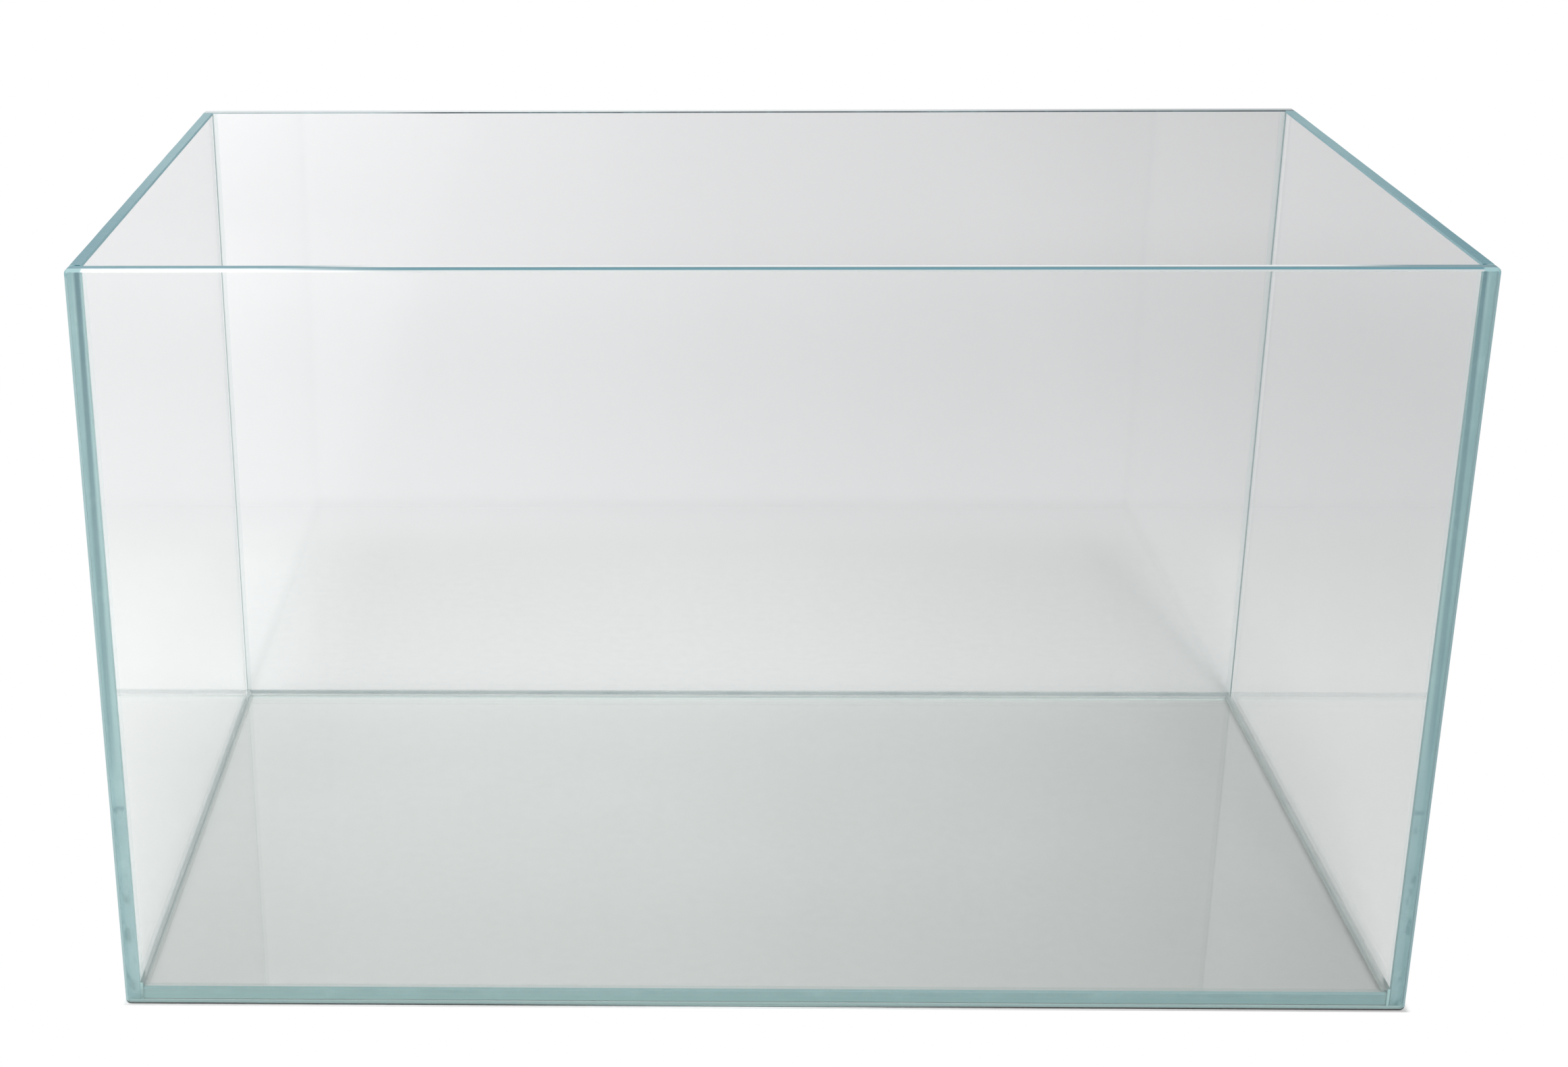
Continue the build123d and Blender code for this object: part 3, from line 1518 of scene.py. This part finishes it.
@dataclass
class Seams:
    """Eight runs of silicone: four round the base and four up the corners."""

    size: TankSize
    overlap: float = 0.02 * MM
    bond: CuredSilicone = CuredSilicone((0.50, 0.72, 0.71), (0.45, 0.66, 0.65), 0.07)
    floor_bond: CuredSilicone = CuredSilicone(
        (0.37, 0.54, 0.535), (0.34, 0.50, 0.495), 0.07, end_on_cover=0.95
    )
    wall_bead: CuredSilicone = CuredSilicone((0.55, 0.58, 0.57), (0.45, 0.48, 0.47), 0.05)
    floor_beads: Sequence[CuredSilicone] = (
        CuredSilicone((0.55, 0.62, 0.61), (0.45, 0.52, 0.51), 0.10),
        CuredSilicone((0.24, 0.29, 0.29), (0.20, 0.25, 0.25), 0.90),
        CuredSilicone((0.66, 0.72, 0.70), (0.58, 0.64, 0.62), 0.30),
        CuredSilicone((0.54, 0.60, 0.58), (0.47, 0.53, 0.51), 0.48),
    )
    back_skew: float = -0.12
    back_feather: float = 1.7

    def __post_init__(self) -> None:
        """Makes the finishes."""
        size = self.size
        self.corner_materials = [
            self.bond.material("bond_silicone"),
            self.wall_bead.material("wall_bead_silicone"),
        ]
        floor_bond = self.floor_bond.material("floor_bond_silicone")
        self.floor_materials = {}
        for wall, bead in zip(Wall, self.floor_beads, strict=True):
            reach = size.bond_gap + size.floor_bead
            shape = BeadShape(wall.axis, size.wall_half(wall), size.glass, reach, size.floor_bead)
            if wall is Wall.BACK:
                shape = replace(shape, feather=self.back_feather, skew=self.back_skew)
            finish = replace(bead, bead=shape).material(f"{wall.label}_bead_silicone")
            self.floor_materials[wall] = [floor_bond, finish]

    def floor_seam(self, wall: Wall) -> Seam:
        """The seam between the base and one wall.

        Args:
            wall: The wall it runs along.

        Returns:
            The seam. Its section is drawn outwards and upwards.
        """
        size = self.size
        foot = size.joint_arris
        face = size.wall_half(wall) + self.overlap
        edge = size.wall_half(wall) - size.bond_gap - self.overlap
        deck = size.glass - self.overlap
        toe = Vector((edge - size.floor_bead, deck))
        top = Vector((face, size.glass + size.floor_bead))
        corner = Vector((face, size.glass))
        return Seam(
            name=f"base_{wall.label}_seam",
            arc=hollow_arc(top, toe, corner, size.bead_hollow),
            solid=[(edge - foot, deck), (edge, deck - foot), (edge, foot), (face, foot)],
            corner=corner,
            half_run=size.run_half(wall),
            place=Matrix((wall.outward, UP, wall.outward.cross(UP))).transposed().to_4x4(),
            finishes=self.floor_materials[wall],
            mitre=lambda point: size.wall_half(wall) - point.x,
        )

    def corner_seam(self, long_wall: Wall, side_wall: Wall) -> Seam:
        """The seam up one corner.

        Args:
            long_wall: The front or back wall.
            side_wall: The left or right wall.

        Returns:
            The seam. Its section is drawn across and deep, in the first quarter.
        """
        size = self.size
        across, deep = size.inner_half
        arris = size.joint_arris
        face = deep + self.overlap
        edge = deep - size.bond_gap - self.overlap
        side = across + self.overlap
        toe_long = Vector((across - size.wall_bead, face))
        toe_side = Vector((side, edge - size.wall_bead))
        corner = Vector((side, face))
        far = size.width / 2 - arris
        mirror = Matrix.Diagonal((side_wall.sign, long_wall.sign, 1.0, 1.0))
        return Seam(
            name=f"{long_wall.label}_{side_wall.label}_seam",
            arc=hollow_arc(toe_long, toe_side, corner, size.bead_hollow),
            solid=[(side, edge - arris), (side + arris, edge), (far, edge), (far, face)],
            corner=corner,
            half_run=size.height / 2 - arris,
            place=Matrix.Translation(UP * (size.height / 2)) @ mirror,
            finishes=self.corner_materials,
        )

    def build(self) -> list[bpy.types.Object]:
        """Makes the eight seams.

        Returns:
            The seams, first those round the base.
        """
        seams = [self.floor_seam(wall) for wall in Wall]
        for long_wall in (Wall.FRONT, Wall.BACK):
            seams += [self.corner_seam(long_wall, side) for side in (Wall.LEFT, Wall.RIGHT)]
        return [seam.build() for seam in seams]


# Studio


@dataclass(frozen=True)
class SoftBox:
    """A large soft lamp."""

    name: str
    place: Triple
    target: Triple
    side: float
    watts: float
    mirrored: bool = True

    def hang(self) -> None:
        """Puts the lamp in the scene, turned to its target."""
        lamp = bpy.data.lights.new(self.name, "AREA")
        lamp.shape = "SQUARE"
        lamp.size = self.side
        lamp.energy = self.watts
        holder = bpy.data.objects.new(self.name, lamp)
        holder.visible_glossy = self.mirrored
        holder.visible_transmission = False
        holder.location = self.place
        aim = Vector(self.target) - Vector(self.place)
        holder.rotation_euler = aim.to_track_quat("-Z", "Y").to_euler()
        bpy.context.scene.collection.objects.link(holder)


@dataclass
class Studio:
    """Pale floor, white surroundings and soft lamps."""

    size: TankSize
    reach: float = 9.0
    rounding: int = 64
    floor_drop: float = 0.25 * MM
    fill: float = 0.2
    rightward: Step = Step(-0.25, 0.45)
    right_dimming: float = 0.55
    lamps: Sequence[SoftBox] = (
        SoftBox("key_softbox", (-0.7, 0.3, 0.7), (0.0, 0.0, 0.0), 0.6, 1.0),
        SoftBox("front_softbox", (0.2, -4.0, 4.5), (0.0, 0.0, 0.1), 1.3, 450.0, mirrored=False),
    )

    def lay_floor(self) -> None:
        """Makes the floor, which is no part of the tank, just below the tank's foot."""
        bm = bmesh.new()
        place = Matrix.Translation(UP * -self.floor_drop)
        bmesh.ops.create_circle(
            bm, cap_ends=True, segments=self.rounding, radius=self.reach, matrix=place
        )
        paper = StudioPaper(self.size.width / 2, self.size.depth / 2)
        floor = keep_mesh(bm, "studio_floor", [paper.material("studio_paper")])

    def surround(self) -> None:
        """Makes the world: white where it is seen, and a soft fill for the light."""
        world = bpy.data.worlds.new("studio_world")
        bpy.context.scene.world = world
        recipe = Recipe(world)
        ways = recipe.node("ShaderNodeTexCoord").outputs["Generated"]
        to_right = self.rightward.of(recipe.signal("ShaderNodeSeparateXYZ", None, {0: ways}))
        shown = recipe.seen_ray("Is Camera Ray", "Is Glossy Ray", "Is Transmission Ray")
        direct = recipe.seen_ray("Is Camera Ray")
        grey = 1 - (1 - direct) * to_right * self.right_dimming
        light = self.fill + (grey - self.fill) * shown
        values = {"Color": recipe.blend(light, BLACK, WHITE), "Strength": 1.0}
        background = recipe.node("ShaderNodeBackground", None, values)
        recipe.surface(background.outputs[0], "ShaderNodeOutputWorld")

    def build(self) -> None:
        """Makes the floor, the world and the lamps."""
        self.lay_floor()
        self.surround()
        for lamp in self.lamps:
            lamp.hang()


@dataclass(frozen=True)
class PhotoCamera:
    """The camera that took the photograph, in pixels of the photograph where it says so."""

    place: Triple = (-42.0 * MM, -901.9 * MM, 457.2 * MM)
    pitch: float = 21.72
    yaw: float = 1.319
    roll: float = 0.371
    upright: float = 90.0
    focal_pixels: float = 3704.7
    centre_pixels: tuple[float, float] = (874.5, 901.2)
    sensor: float = 36.0

    def aim(self) -> Euler:
        """How the camera is turned.

        Returns:
            A level look along the tank's depth, rolled, pitched down and turned, in that order.
        """
        steps = (("Z", self.yaw), ("X", -self.pitch), ("Y", self.roll), ("X", self.upright))
        turned = Matrix.Identity(4)
        for axis, degrees in steps:
            turned = turned @ Matrix.Rotation(math.radians(degrees), 4, axis)
        return turned.to_euler()

    def mount(self) -> None:
        """Puts the camera in the scene and makes it the active one."""
        lens = bpy.data.cameras.new("photo_camera")
        lens.sensor_width = self.sensor
        lens.lens = self.focal_pixels / PHOTO_WIDTH * self.sensor
        lens.shift_x = (PHOTO_WIDTH / 2 - self.centre_pixels[0]) / PHOTO_WIDTH
        lens.shift_y = (self.centre_pixels[1] - PHOTO_HEIGHT / 2) / PHOTO_WIDTH
        camera = bpy.data.objects.new("photo_camera", lens)
        camera.location = self.place
        camera.rotation_euler = self.aim()
        bpy.context.scene.collection.objects.link(camera)
        bpy.context.scene.camera = camera


def set_rendering() -> None:
    """Plain colours, and enough bounces for light to pass several panes."""
    scene = bpy.context.scene
    scene.view_settings.view_transform = "Standard"
    scene.cycles.max_bounces = 24
    scene.cycles.transmission_bounces = 24
    scene.cycles.glossy_bounces = 12
    scene.cycles.transparent_max_bounces = 32
    scene.cycles.use_denoising = True


def main() -> None:
    """Builds the studio and the tank."""
    logging.basicConfig(level=logging.INFO, format="%(name)s: %(message)s")
    size = TankSize()
    PhotoCamera().mount()
    Studio(size).build()
    panes = Glazing(size).build()
    seams = Seams(size).build()
    log.info("%d panes, %d seams", len(panes), len(seams))
    set_rendering()


if __name__ == "__main__":
    main()
